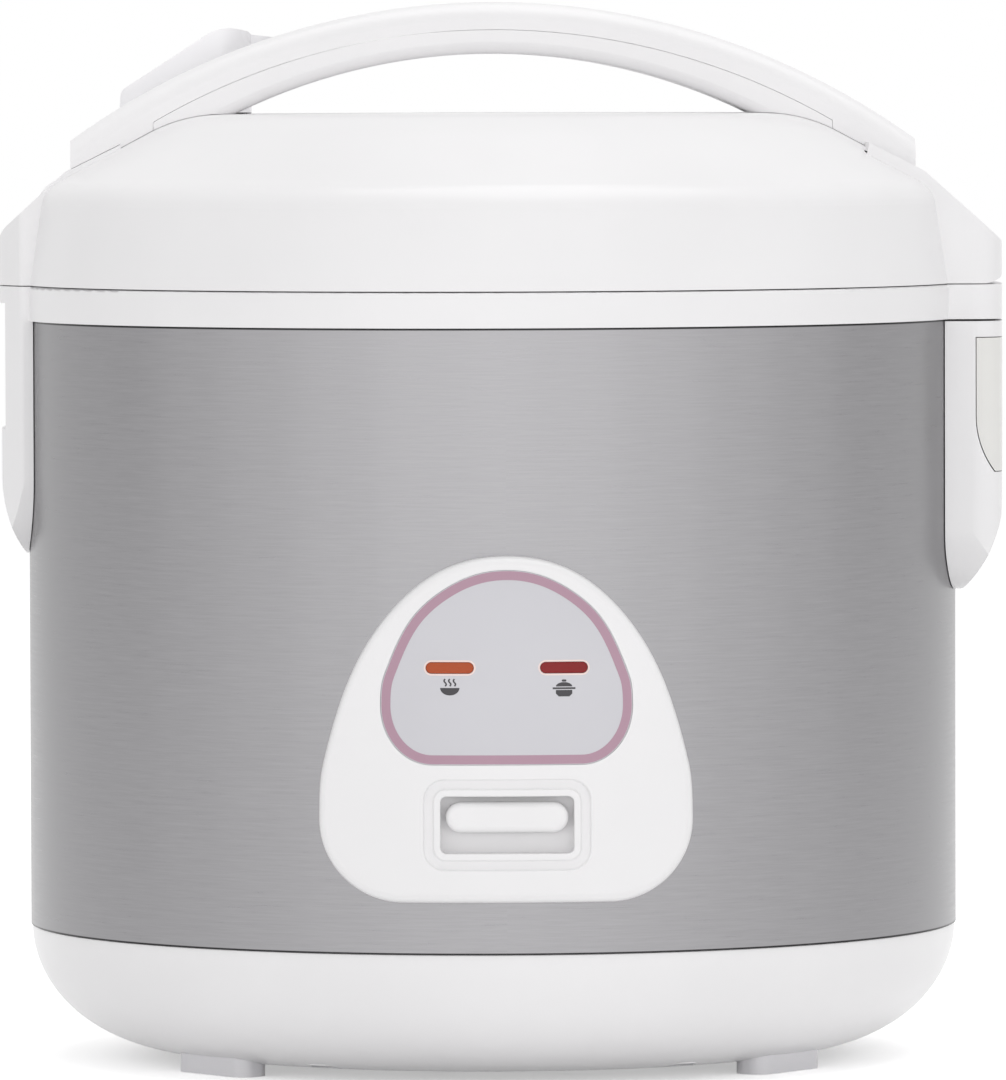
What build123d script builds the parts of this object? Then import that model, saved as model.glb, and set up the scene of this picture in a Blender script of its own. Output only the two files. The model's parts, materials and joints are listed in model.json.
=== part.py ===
"""Rice cooker with a hinged lid, a fixed carry handle and one cooking lever.

Millimetres, +Z up, front at -Y. The body axis is Z and the feet stand on z = 0.
"""

from build123d import *
import math
import os

# Body: base bowl, steel band and collar
BODY_R = 135.0
BOWL_R = 134.6
BAND_T = 0.8
SEAM_Z = 39.0
COLLAR_Z = 215.0
COLLAR_TOP = 225.0
COLLAR_R = 136.2
BOWL_FLAT_R = 90.0
BOWL_FLOOR = 2.7
BOWL_T = 2.6
BAND_TOP = 217.0
FIT = 0.2

# Lid
LID_Z = 225.3
LID_R = 136.0
LID_SHOULDER = (131.9, 252.9)
LID_CREST = (91.9, 274.6)
LID_TOP = 275.0
LID_T = 2.4
LID_BASE_R = 132.2
LID_BASE_Z = (226.8, 230.0)
LID_SCREW_SEAT = 228.4
INNER_LID_Z = (224.2, 225.4)
SEAL_SLOT_Z = (224.15, 225.45)
LATCH_WALL = [(145.0, LID_Z), (143.2, 240.6), (124.5, 257.8), (108.0, 266.0)]
HINGE_WALL = [(148.6, LID_Z), (147.4, 237.0), (123.9, 257.9), (108.0, 266.0)]

# Ears, which run through the lid, the collar and the sides of the body
LATCH_HALF = 21.5
LATCH_SHOULDER = 137.0
LATCH_ROUND = 2.0
LATCH_REACH = 144.0
LATCH_TIP = 147.0
HINGE_HALF = 38.0
HINGE_SHOULDER = 145.6
HINGE_ROUND = 9.0
HINGE_REACH = 148.4
COLLECTOR_GAP = 0.25
HINGE_TIP = 136.4

# Hinge axis, along Y, and its lugs
AXIS_X = 141.0
AXIS_Z = 234.3
PIN_R = 1.5
RUNNING = 0.05
LUG_R = 3.4
LUG_Y = (15.6, 23.0)
LUG_MID = sum(LUG_Y) / 2
KNUCKLES_Y = ((9.6, 15.2), (23.4, 27.0))

# Carry handle: three arcs in the XZ plane, as (centre z, radius)
HANDLE_OUT = (99.0, 208.0)
HANDLE_SEAM = (103.0, 196.0)
HANDLE_IN = (122.0, 170.0)
HANDLE_GAP = 0.1
HANDLE_JOIN = 98.5
HANDLE_END = 122.5
HANDLE_MID_HALF = 17.0
HANDLE_END_HALF = 21.0
HANDLE_WALL = 2.6

# Steam vent
VENT_X, VENT_Y = -80.0, 49.0
CAP_X = (-111.0, -69.5)
CAP_HALF_Y = 22.0
CAP_LEAN = 3.0
CAP_RIDGE = (-78.5, 300.6)
CAP_EAVES = (281.5, 298.6)
CAP_WALL = 1.8
LIP_END = (-62.0, 297.0)
LIP_HALF_Y = 15.0
CAP_FLOOR_Z = (282.0, 283.6)
CAP_SLITS = 5
SLIT_PITCH = 6.0

# Pot, liner and heater
POT_R = 119.0
POT_T = 1.5
POT_FLOOR = 80.0
POT_RIM = 222.5
POT_FLANGE_R = 127.5
POT_CORNER = 18.0
LEDGE_Z = 220.4
LINER_R = 121.6
LINER_T = 0.6
LINER_FLOOR = 56.0
PLATE_R = 92.0
PLATE_BORE = 19.0
PLATE_LOW = 74.0
TUBE_LOW = 66.0
TERMINAL_X = 14.0

# Sensor in the middle of the plate
HOLDER_Z = (56.6, 57.6)
SENSOR_R = 15.5
SENSOR_TOP = 79.6
SENSOR_ROOF = 78.4

# Control panel, on the front of the band
PANEL_R = 139.5
LABEL_T = 0.6
PANEL_HALF = 52.5
PANEL_Z = (54.0, 151.3)
LABEL_HALF = 35.3
LABEL_Z = (92.9, 147.4)
LABEL_FIT = 0.16
LAMP_X, LAMP_Z = 16.0, 120.1
RECESS_W, RECESS_Z = 37.5, (67.9, 84.0)
MOAT_IN, MOAT_OUT, MOAT_DEPTH = 1.9, 4.7, 1.0
KNOB_W, KNOB_H, KNOB_Z = 34.4, 8.6, 78.1

# Cooking lever, which rocks on a pin along X
PIVOT_Y, PIVOT_Z = -60.0, 44.0
LEVER_Z = (46.0, 48.0)
LEVER_HALF = 7.0
RISER_Y = (-128.0, -126.0)
STEM_Z = (79.4, 81.9)

# Feet and screws
FOOT_ANGLE = 38.0
FOOT_R = 101.0
POST_R = 100.0
POST_ANGLES = (60.0, 120.0, 240.0, 300.0)
SPACER_R = 69.0
SPACER_ANGLES = (90.0, 210.0, 330.0)
PANEL_SCREWS = [(-40, 72), (40, 72), (-34, 112), (34, 112)]
LID_SCREWS = [(72, 84), (-72, 84), (72, -84), (-72, -84)]
HANDLE_SCREWS = [(105.5, 8), (105.5, -8), (-105.5, 8), (-105.5, -8)]
HANDLE_TIP = 275.5

# Power inlet, at the back of the bowl
INLET_Z = 25.0
INLET_FACE = 129.0
INLET_PINS = [(-7, 21), (7, 21), (0, 28)]


def block(x, y, z):
    """Box between the low and high ends of x, y and z."""
    spans = (x, y, z)
    middle = [(low + high) / 2 for low, high in spans]
    return Pos(*middle) * Box(*[high - low for low, high in spans])


def post(x, y, radius, low, high):
    """Upright round bar."""
    return Pos(x, y, low) * Cylinder(radius, high - low, align=(Align.CENTER, Align.CENTER, Align.MIN))


def bar_x(y, z, radius, low, high):
    """Round bar along X."""
    bar = Cylinder(radius, high - low, align=(Align.CENTER, Align.CENTER, Align.MIN))
    return Pos(low, y, z) * Rot(0, 90, 0) * bar


def bar_y(x, z, radius, low, high):
    """Round bar along Y."""
    bar = Cylinder(radius, high - low, align=(Align.CENTER, Align.CENTER, Align.MIN))
    return Pos(x, high, z) * Rot(90, 0, 0) * bar


def ring(inner, outer, low, high):
    """Plain ring about the body axis."""
    return post(0, 0, outer, low, high) - post(0, 0, inner, low - 1, high + 1)


def turned(points, radii=0):
    """Solid turned about the body axis from (radius, z) corners."""
    return revolve(Plane.XZ * make_face(FilletPolyline(*points, radius=radii, close=True)), Axis.Z)


def across(face, half):
    """Face drawn in (x, z), carried along Y to both sides."""
    return extrude(Plane.XZ * face, amount=half, both=True)


def between_y(face, low, high):
    """Face drawn in (x, z), carried from low to high along Y."""
    return Pos(0, high, 0) * extrude(Plane.XZ * face, amount=high - low)


def upright(face, low, high):
    """Face drawn in (x, y), carried from low to high along Z."""
    return extrude(Pos(0, 0, low) * face, amount=high - low)


def polar(radius, angle):
    """Point at an angle from +X about the body axis."""
    turn = math.radians(angle)
    return radius * math.cos(turn), radius * math.sin(turn)


def drawn_in(points, inset):
    """Open chain of corners moved to its right-hand side by inset."""
    normals = []
    for (x0, z0), (x1, z1) in zip(points, points[1:]):
        length = math.hypot(x1 - x0, z1 - z0)
        normals.append(((z0 - z1) / length, (x1 - x0) / length))
    moved = []
    for index, (x, z) in enumerate(points):
        before = normals[max(index - 1, 0)]
        after = normals[min(index, len(normals) - 1)]
        share = inset / (1 + before[0] * after[0] + before[1] * after[1])
        moved.append((x + share * (before[0] + after[0]), z + share * (before[1] + after[1])))
    return moved


def coil(radius, wire, low, high, turns):
    """Wire coil about Z, one tube on biarcs of a quarter turn."""
    steps = round(turns * 4)
    rise = (high - low - 2 * wire) / steps

    def point(step):
        turn = math.pi / 2 * step
        return Vector(radius * math.cos(turn), radius * math.sin(turn), low + wire + rise * step)

    def heading(step):
        turn = math.pi / 2 * step
        along = math.pi / 2 * radius
        return Vector(-along * math.sin(turn), along * math.cos(turn), rise).normalized()

    arcs = []
    for step in range(steps):
        start, end = point(step), point(step + 1)
        leave, arrive = heading(step), heading(step + 1)
        chord = end - start
        bend = 2 * (1 - leave.dot(arrive))
        pull = chord.dot(leave + arrive)
        reach = (math.sqrt(pull * pull + bend * chord.dot(chord)) - pull) / bend
        joint = (start + end + (leave - arrive) * reach) / 2
        arcs.append(TangentArc(start, joint, tangent=leave))
        arcs.append(TangentArc(joint, end, tangent=arcs[-1] % 1))
    gap = 4 * rise - 2 * wire
    print("coil gap between turns", round(gap, 2))
    return sweep(Plane(point(0), z_dir=heading(0)) * Circle(wire), path=Wire(arcs))


def screw(x, y, seat, tip, shank=1.6, head=3.4, head_height=2.2):
    """Screw driven upwards, with its head under the seat."""
    return post(x, y, shank, seat, tip) + post(x, y, head, seat - head_height, seat)


def ear_plan(side, half, shoulder, reach, soft, inset=0.0):
    """Plan of an ear: flat front and back, an arc as its outer face and soft corners."""
    root = 90.0 * side
    corner = (shoulder - inset) * side
    edge = half - inset
    sides = Polyline((corner, edge), (root, edge), (root, -edge), (corner, -edge))
    plan = make_face([sides, ThreePointArc((corner, edge), ((reach - inset) * side, 0), (corner, -edge))])
    corners = [v for v in plan.vertices() if abs(v.X - corner) < 0.01]
    return fillet(corners, soft - 0.6 * inset)


def latch_plan(inset=0.0):
    return ear_plan(-1, LATCH_HALF, LATCH_SHOULDER, LATCH_REACH, LATCH_ROUND, inset)


def hinge_plan(inset=0.0):
    return ear_plan(1, HINGE_HALF, HINGE_SHOULDER, HINGE_REACH, HINGE_ROUND, inset)


def lid_form(inset, floor):
    """Outside of the lid, or that shape drawn in by a wall, down to floor."""
    dome = drawn_in([(LID_R, LID_Z), LID_SHOULDER, LID_CREST, (0, LID_TOP)], inset)
    dome = [(dome[0][0], floor)] + dome[1:3] + [(0, dome[3][1]), (0, floor)]
    form = turned(dome, [0, 9 - inset, 45 - inset, 0, 0])
    for side, chain, soft, plan in ((-1, LATCH_WALL, 8, latch_plan), (1, HINGE_WALL, 3, hinge_plan)):
        wall = drawn_in(chain, inset)
        wall = [(wall[0][0], floor)] + wall[1:] + [(100, floor)]
        wall = [(x * side, z) for x, z in wall]
        profile = make_face(FilletPolyline(*wall, radius=[0, soft, 6, 0, 0], close=True))
        form += across(profile, HINGE_HALF + 2) & upright(plan(inset), floor, LID_TOP)
    return form


# Body shells

def bowl_arc(inset):
    """Quarter ellipse of the bowl's side, drawn in by inset."""
    return EllipticalCenterArc(
        (BOWL_FLAT_R, SEAM_Z), BOWL_R - BOWL_FLAT_R - inset, SEAM_Z - BOWL_FLOOR - inset, 270, arc_size=90
    )


def base_shell():
    """Bowl with a spigot for the band, vent slots, screw posts and the inlet window."""
    outer = bowl_arc(0)
    inner = bowl_arc(BOWL_T)
    spigot = BODY_R - BAND_T - FIT
    lip_top = SEAM_Z + 4
    lip = Polyline(inner @ 1, (BOWL_R - BOWL_T, lip_top), (spigot, lip_top), (spigot, SEAM_Z), outer @ 1)
    floor = Polyline(inner @ 0, (0, BOWL_FLOOR + BOWL_T), (0, BOWL_FLOOR), outer @ 0)
    bowl = revolve(Plane.XZ * make_face([outer, inner, lip, floor]), Axis.Z)
    for angle in POST_ANGLES:
        x, y = polar(POST_R, angle)
        bowl += post(x, y, 6, BOWL_FLOOR + 2, LINER_FLOOR)
        bowl -= post(x, y, 2.2, 0, LINER_FLOOR + 1)
        bowl -= post(x, y, 4.6, 0, BOWL_FLOOR + 6)
    slot = upright(SlotOverall(26, 3), 0, BOWL_FLOOR + BOWL_T + 1)
    for index in range(12):
        bowl -= Rot(0, 0, 30 * index + 15) * Pos(64, 0, 0) * slot
    return bowl - between_y(inlet_outline(0.3), 95, 140)


def foot_pads():
    """Four pads that follow the bowl."""
    pad = upright(RectangleRounded(11, 31, 4.5), 0, 9)
    flare = bowl_arc(0)
    rest = Polyline(flare @ 1, (0, SEAM_Z), (0, BOWL_FLOOR), flare @ 0)
    bowl = revolve(Plane.XZ * make_face([flare, rest]), Axis.Z)
    pads = [Rot(0, 0, angle) * Pos(FOOT_R, 0, 0) * pad - bowl for angle in foot_angles()]
    return Compound(children=pads)


def foot_angles():
    return [FOOT_ANGLE, 180 - FOOT_ANGLE, 180 + FOOT_ANGLE, 360 - FOOT_ANGLE]


def steel_band():
    """Rolled sheet with the panel window and a notch behind the latch."""
    band = ring(BODY_R - BAND_T, BODY_R, SEAM_Z + FIT, BAND_TOP)
    band -= block((-30, 30), (-140, -100), (62, 130))
    band -= block((-140, -100), (-14, 14), (206, BAND_TOP + 1))
    for x, z in PANEL_SCREWS:
        band -= bar_y(x, z, 2.0, -140, -100)
    return band


def latch_form(top):
    """Left ear: a tongue with a round end, outside the band."""
    front = make_face([
        Polyline((-142.8, 170), (-142.8, 219.5), (-LATCH_REACH, 220.5), (-LATCH_REACH, top),
                 (-100, top), (-100, LATCH_TIP), (-135.6, LATCH_TIP)),
        TangentArc((-142.8, 170), (-135.6, LATCH_TIP), tangent=(0, -1)),
    ])
    turn = LATCH_TIP + LATCH_HALF
    side = Pos(0, turn) * Circle(LATCH_HALF)
    side += Pos(0, (turn + top) / 2) * Rectangle(2 * LATCH_HALF, top - turn)
    tongue = Pos(-150, 0, 0) * extrude(Plane.YZ * side, amount=50)
    return tongue & across(front, LATCH_HALF + 1) & upright(latch_plan(), LATCH_TIP, top)


def top_collar():
    """Ring on the band with the pot ledge, the latch ear and the hinge lugs."""
    skirt = BODY_R + FIT
    seat = BODY_R - BAND_T - FIT
    collar = turned([
        (COLLAR_R, COLLAR_Z), (COLLAR_R, COLLAR_TOP), (129.5, COLLAR_TOP), (129.5, LEDGE_Z),
        (122.8, LEDGE_Z), (122.8, 214), (124.8, 214), (124.8, 218), (132.4, 218), (132.4, 210),
        (seat, 210), (seat, 218), (skirt, 218), (skirt, COLLAR_Z),
    ], [0, 0.8, 0.6] + [0] * 11)
    ears = latch_form(COLLAR_TOP) + upright(hinge_plan(), COLLAR_Z, COLLAR_TOP)
    ears -= post(0, 0, skirt, 100, 218)
    collar += ears - post(0, 0, 130, 217, 230)
    window = 12.9
    collar -= block((-150, -133), (-window, window), (183.7, 220.1))
    collar -= block((-140, -128), (-window, window), (205, 218))
    collar -= block((-138.4, -133.3), (-8, 8), (210, 230))
    for y0, y1 in (LUG_Y, (-LUG_Y[1], -LUG_Y[0])):
        stem = block((AXIS_X - LUG_R, AXIS_X + 1), (y0, y1), (COLLAR_TOP - 2, AXIS_Z))
        collar += stem + bar_y(AXIS_X, AXIS_Z, LUG_R, y0, y1)
    return collar - bar_y(AXIS_X, AXIS_Z, PIN_R + RUNNING, -30, 30)


def bracket_form():
    """Right ear: a wide tongue with round lower corners, outside the band."""
    top = COLLAR_Z - 0.6
    front = make_face([
        Polyline((HINGE_REACH, 172), (HINGE_REACH, top), (100, top), (100, HINGE_TIP), (135.6, HINGE_TIP)),
        TangentArc((HINGE_REACH, 172), (135.6, HINGE_TIP), tangent=(0, -1)),
    ])
    low = [(-HINGE_HALF, HINGE_TIP), (HINGE_HALF, HINGE_TIP), (HINGE_HALF, top), (-HINGE_HALF, top)]
    side = make_face(FilletPolyline(*low, radius=[17, 17, 0, 0], close=True))
    tongue = Pos(100, 0, 0) * extrude(Plane.YZ * side, amount=60)
    form = tongue & across(front, HINGE_HALF + 1) & upright(hinge_plan(), HINGE_TIP, top)
    return form - post(0, 0, BODY_R + FIT, 100, 230)


def collector_zone(gap):
    """Front view of the cup's place in the ear, grown by gap."""
    x, low, high = 138.9 - gap, 171.0 - gap, 209.6 + gap
    return make_face([
        Polyline((x, 187), (x, high), (160, high), (160, low), (144.5 - gap, low)),
        TangentArc((x, 187), (144.5 - gap, low), tangent=(0, -1)),
    ])


def collector_bracket():
    return bracket_form() - across(collector_zone(COLLECTOR_GAP), 60)


def dew_collector():
    """Clear cup that follows the ear's outer face."""
    wall = 1.5
    cup = bracket_form() & across(collector_zone(0), 60)
    hollow = across(offset(collector_zone(0), -wall, kind=Kind.INTERSECTION), 60)
    hollow &= upright(hinge_plan(wall), 100, 230)
    mouth = across(collector_zone(-wall), 60) & upright(hinge_plan(wall), 200, 230)
    return cup - hollow - Pos(0, 0, 3) * mouth


# Control panel

def arch_outline(half, flat, low):
    """Face of an arch: its right half from the top to the widest point, then a quarter ellipse to a flat."""
    wide, level = half[-1]
    edges = [Line((flat, low), (-flat, low))]
    for side, start in ((1, 270), (-1, 180)):
        edges.append(Spline(*[(x * side, z) for x, z in half], tangents=[(side, 0), (0, -1)]))
        edges.append(EllipticalCenterArc((flat * side, level), wide - flat, level - low, start, arc_size=90))
    return make_face(edges)


def panel_outline():
    """Bezel seen from the front."""
    low, high = PANEL_Z
    return arch_outline([(0, high), (29.4, 139.0), (44.1, 116.6), (51.0, 94.3), (PANEL_HALF, 77)], 29, low)


def label_outline(grow=0.0):
    """Printed plate, or its seat, grown about its middle."""
    low, high = LABEL_Z
    centre = (low + high) / 2
    share = 1 + grow / LABEL_HALF
    half = [(0, high), (17.9, 141.8), (26.9, 133.4), (33.7, 119.4), (LABEL_HALF, 109.5)]
    half = [(x * share, centre + (z - centre) * share) for x, z in half]
    return arch_outline(half, 21, centre - (centre - low) * share)


def on_front(face, inner, outer):
    """Front-view face carried onto the cylinder between two radii."""
    return between_y(face, -160, -60) & ring(inner, outer, 40, 170)


def edges_at(solid, radius):
    """Edges whose ends lie at a distance from the body axis."""
    return [e for e in solid.edges() if all(abs(math.hypot(v.X, v.Y) - radius) < 1e-3 for v in e.vertices())]


def near_recess(edges):
    """Those edges that lie round the pocket of the knob."""
    low, high = RECESS_Z
    reach = MOAT_OUT + 0.5
    beside = [e for e in edges if abs(e.center().X) < RECESS_W / 2 + reach]
    return [e for e in beside if low - reach < e.center().Z < high + reach]


def recess_face(grow, radius):
    low, high = RECESS_Z
    return Pos(0, (low + high) / 2) * RectangleRounded(RECESS_W + 2 * grow, high - low + 2 * grow, radius)


def control_panel():
    """Bezel with a seat for the plate, lamp windows and the pocket of the lever knob."""
    panel = on_front(panel_outline(), BODY_R + 0.1, PANEL_R)
    panel = fillet(edges_at(panel, PANEL_R), 2.6)
    shroud = between_y(recess_face(1.6, 3), -136.5, -131.4)
    panel += shroud
    moat = recess_face(MOAT_OUT, 6) - recess_face(MOAT_IN, 3.4)
    panel -= on_front(moat, PANEL_R - MOAT_DEPTH, PANEL_R + 5)
    panel -= between_y(recess_face(0, 1.8), -160, -132.6)
    panel = fillet(near_recess(edges_at(panel, PANEL_R - MOAT_DEPTH)), 0.5)
    panel = fillet(near_recess(edges_at(panel, PANEL_R)), 0.4)
    panel -= block((-6.2, 6.2), (-140, -130), (73.8, 82.3))
    panel -= on_front(label_outline(LABEL_FIT), PANEL_R - LABEL_T - 0.05, PANEL_R + 5)
    for x in (-LAMP_X, LAMP_X):
        panel -= between_y(Pos(x, LAMP_Z) * SlotOverall(13.5, 3.3), -160, -120)
        panel += bar_y(1.6 * x, LAMP_Z, 2.4, -134.5, -127.6)
    for x, z in PANEL_SCREWS:
        panel -= bar_y(x, z, 1.55, -131.9, -100)
    return panel


def panel_screws():
    """Four screws from inside the band."""
    screws = []
    for x, z in PANEL_SCREWS:
        seat = -math.sqrt((BODY_R - BAND_T) ** 2 - x * x) + 1.0
        screws.append(bar_y(x, z, 1.5, -131.7, seat) + bar_y(x, z, 3.0, seat, seat + 2))
    return Compound(children=screws)


def panel_label():
    """Thin plate in its seat, with the two lamp windows."""
    plate = on_front(label_outline(), PANEL_R - LABEL_T, PANEL_R)
    for x in (-LAMP_X, LAMP_X):
        plate -= between_y(Pos(x, LAMP_Z) * SlotOverall(13.5, 3.3), -160, -120)
    return plate


def lamp_lens(x):
    """Coloured window, a little below the plate's face."""
    return on_front(Pos(x, LAMP_Z) * SlotOverall(13.3, 3.1), 133.4, PANEL_R - 0.25)


def lamp_board():
    """Circuit board on two posts behind the panel."""
    return block((-28, 28), (-127.6, -126), (LAMP_Z - 8, LAMP_Z + 8))


def indicator_lamps():
    """Two lamps that point at their windows."""
    lamps = [bar_y(x, LAMP_Z, 1.5, -130.9, -127.6) for x in (-LAMP_X, LAMP_X)]
    return Compound(children=lamps)


# Lever and magnet

def lever_arm():
    """Steel strip with pivot cheeks and a riser at the front."""
    arm = block((-LEVER_HALF, LEVER_HALF), (RISER_Y[0], 6), LEVER_Z)
    arm += block((-LEVER_HALF, LEVER_HALF), RISER_Y, (LEVER_Z[0], STEM_Z[1]))
    for x in (-LEVER_HALF, LEVER_HALF - 1.5):
        cheek = bar_x(PIVOT_Y, PIVOT_Z, 3.6, x, x + 1.5)
        arm += cheek + block((x, x + 1.5), (PIVOT_Y - 3.6, PIVOT_Y + 3.6), (PIVOT_Z, LEVER_Z[0]))
    return arm - bar_x(PIVOT_Y, PIVOT_Z, 1.5 + RUNNING, -20, 20)


def cook_button():
    """Knob with rounded ends on a short stem."""
    knob = between_y(Pos(0, KNOB_Z) * SlotOverall(KNOB_W, KNOB_H), -138.4, -134.4)
    knob = fillet(knob.faces().sort_by(Axis.Y)[0].edges(), 1.8)
    return knob + block((-5, 5), (-135, RISER_Y[0]), STEM_Z)


def lever_bracket():
    """Folded bracket under the liner that carries the pivot pin."""
    bracket = block((-16, 16), (PIVOT_Y - 8, PIVOT_Y + 8), (LINER_FLOOR - 1.5, LINER_FLOOR))
    for x in (-10, 8.5):
        bracket += block((x, x + 1.5), (PIVOT_Y - 8, PIVOT_Y + 8), (PIVOT_Z - 4, LINER_FLOOR))
    return bracket - bar_x(PIVOT_Y, PIVOT_Z, 1.5 + RUNNING, -20, 20)


def lever_pin():
    return bar_x(PIVOT_Y, PIVOT_Z, 1.5, -12, 12)


def lever_spring():
    """Coil that holds the magnet end of the lever down."""
    return Pos(0, -30, 0) * coil(4.0, 0.4, LEVER_Z[1] + 0.1, LINER_FLOOR - 0.1, 3)


def magnet_plunger():
    """Magnet on a rod that stands over the end of the lever."""
    return post(0, 0, 9, 60.5, 66.5) + post(0, 0, 3, LEVER_Z[1] + 0.5, 60.6)


def sensor_holder():
    """Dished plate in the liner's floor, the seat of the sensor spring."""
    low, high = HOLDER_Z
    return turned([(7.5, low), (36, low), (36, high), (7.5, high)])


def sensor_cap():
    """Aluminium cup that touches the pot."""
    lip = 60.4
    bore = SENSOR_R - 1
    return turned([
        (0, SENSOR_TOP), (SENSOR_R, SENSOR_TOP), (SENSOR_R, lip),
        (bore, lip), (bore, SENSOR_ROOF), (0, SENSOR_ROOF),
    ], [0, 1.5, 0, 0, 0.4, 0])


def sensor_ferrite():
    return post(0, 0, 10, SENSOR_ROOF - 4.4, SENSOR_ROOF)


def sensor_spring():
    return coil(12.2, 0.5, HOLDER_Z[1], SENSOR_ROOF - 0.1, 5)


def micro_switch():
    """Switch beside the lever, with its actuator."""
    return block((12, 18.5), (-100, -80), (44, LINER_FLOOR)) + block((10, 12.5), (-92, -89), (46, 48))


# Pot and heater

def inner_pot():
    """Drawn pot with a round corner and a turned-out rim."""
    flange = POT_RIM - 1.3
    bore = POT_R - POT_T
    inside = POT_FLOOR + POT_T
    outer = [(0, POT_FLOOR), (POT_R, POT_FLOOR), (POT_R, flange), (POT_FLANGE_R, flange)]
    inner = [(POT_FLANGE_R, POT_RIM), (bore, POT_RIM), (bore, inside), (0, inside)]
    return turned(outer + inner, [0, POT_CORNER, 0, 0.5, 0.5, 1.2, POT_CORNER - POT_T, 0])


def pot_liner():
    """Sheet liner that hangs on the collar's ledge."""
    outside = LINER_R + LINER_T
    liner = turned([
        (34, LINER_FLOOR), (outside, LINER_FLOOR), (outside, LEDGE_Z), (128, LEDGE_Z),
        (128, LEDGE_Z + LINER_T), (LINER_R, LEDGE_Z + LINER_T), (LINER_R, LINER_FLOOR + LINER_T),
        (34, LINER_FLOOR + LINER_T),
    ])
    for x in (-TERMINAL_X, TERMINAL_X):
        liner -= post(x, SPACER_R, 5, 50, 60)
    for angle in SPACER_ANGLES:
        liner -= post(*polar(SPACER_R, angle), 2.1, 50, 60)
    for angle in POST_ANGLES:
        liner -= post(*polar(POST_R, angle), 2.2, 50, 60)
    return liner


def heating_plate():
    """Cast plate with the ridge of its heating tube and a bore for the sensor."""
    plate = turned([
        (PLATE_BORE, POT_FLOOR), (PLATE_R - 3, POT_FLOOR), (PLATE_R, POT_FLOOR - 3), (PLATE_R, PLATE_LOW),
        (82, PLATE_LOW), (80, TUBE_LOW), (58, TUBE_LOW), (56, PLATE_LOW), (PLATE_BORE, PLATE_LOW),
    ])
    for angle in SPACER_ANGLES:
        plate -= post(*polar(SPACER_R, angle), 2.1, 60, 73)
    return plate


def heater_terminals():
    return Compound(children=[post(x, SPACER_R, 2.6, 50, TUBE_LOW) for x in (-TERMINAL_X, TERMINAL_X)])


def plate_spacers():
    tubes = []
    for angle in SPACER_ANGLES:
        x, y = polar(SPACER_R, angle)
        tubes.append(post(x, y, 5, LINER_FLOOR + LINER_T, TUBE_LOW) - post(x, y, 2.1, 50, 70))
    return Compound(children=tubes)


def plate_screws():
    return Compound(children=[
        screw(*polar(SPACER_R, angle), LINER_FLOOR, 72, 2.0, 3.8) for angle in SPACER_ANGLES
    ])


def base_screws():
    return Compound(children=[
        screw(*polar(POST_R, angle), BOWL_FLOOR + 6, 60, 2.0, 4.2, 3) for angle in POST_ANGLES
    ])


def warm_thermostat():
    """Disc thermostat under the plate."""
    return post(28, 28, 9, 68, PLATE_LOW) + block((20, 36), (26, 30), (64, 68.5))


def thermal_fuse():
    """Fuse in a clip under the liner."""
    return bar_x(20, 52.4, 2.4, -64, -44) + block((-57, -51), (16, 24), (52.4, LINER_FLOOR))


def terminal_block():
    """Three-way connector on the floor of the bowl."""
    terminal = block((36, 66), (33, 47), (BOWL_FLOOR + BOWL_T, 18))
    for x in (41, 51, 61):
        terminal -= bar_y(x, 12.5, 2.6, 30, 50)
    return terminal


# Inlet socket

def inlet_outline(grow):
    return Pos(0, INLET_Z) * RectangleRounded(31 + 2 * grow, 24 + 2 * grow, 3)


def power_inlet():
    """Socket shroud, open at the back."""
    socket = between_y(inlet_outline(0), 106, INLET_FACE)
    mouth = [(-12.5, 16.5), (12.5, 16.5), (12.5, 29), (8, 33.5), (-8, 33.5), (-12.5, 29)]
    socket -= between_y(make_face(Polyline(*mouth, close=True)), 111, INLET_FACE + 1)
    for x, z in INLET_PINS:
        socket -= block((x - 1.1, x + 1.1), (100, 112), (z - 2.1, z + 2.1))
    return socket


def inlet_pins():
    blades = [block((x - 1, x + 1), (100, 125), (z - 2, z + 2)) for x, z in INLET_PINS]
    return Compound(children=blades)


# Lid

def lid_cover():
    """Dome with its side bands, hinge notches, vent hole and screw bosses."""
    cover = lid_form(0, LID_Z) - lid_form(LID_T, LID_Z - 5)
    hollow = lid_form(0, LID_Z)
    for x, y in LID_SCREWS:
        cover += hollow & post(x, y, 4.5, 230.2, 270)
    for x, y in HANDLE_SCREWS:
        cover += hollow & post(x, y, 5, 258, 280)
        cover -= post(x, y, 2.0, 250, 285)
    for x, y in LID_SCREWS:
        cover -= post(x, y, 1.65, 225, 243)
    for y in (-LUG_MID, LUG_MID):
        notch = (y - 4.1, y + 4.1)
        cover -= block((AXIS_X - LUG_R - 0.6, 150), notch, (220, AXIS_Z + 1.6))
        cover -= bar_y(AXIS_X, AXIS_Z, LUG_R + 0.5, *notch)
    heel = block((AXIS_X, 152), (-45, 45), (LID_Z - 1, AXIS_Z))
    heel -= bar_y(AXIS_X, AXIS_Z, AXIS_Z - LID_Z, -50, 50)
    return cover - heel - post(VENT_X, VENT_Y, 9, 250, 285)


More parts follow.
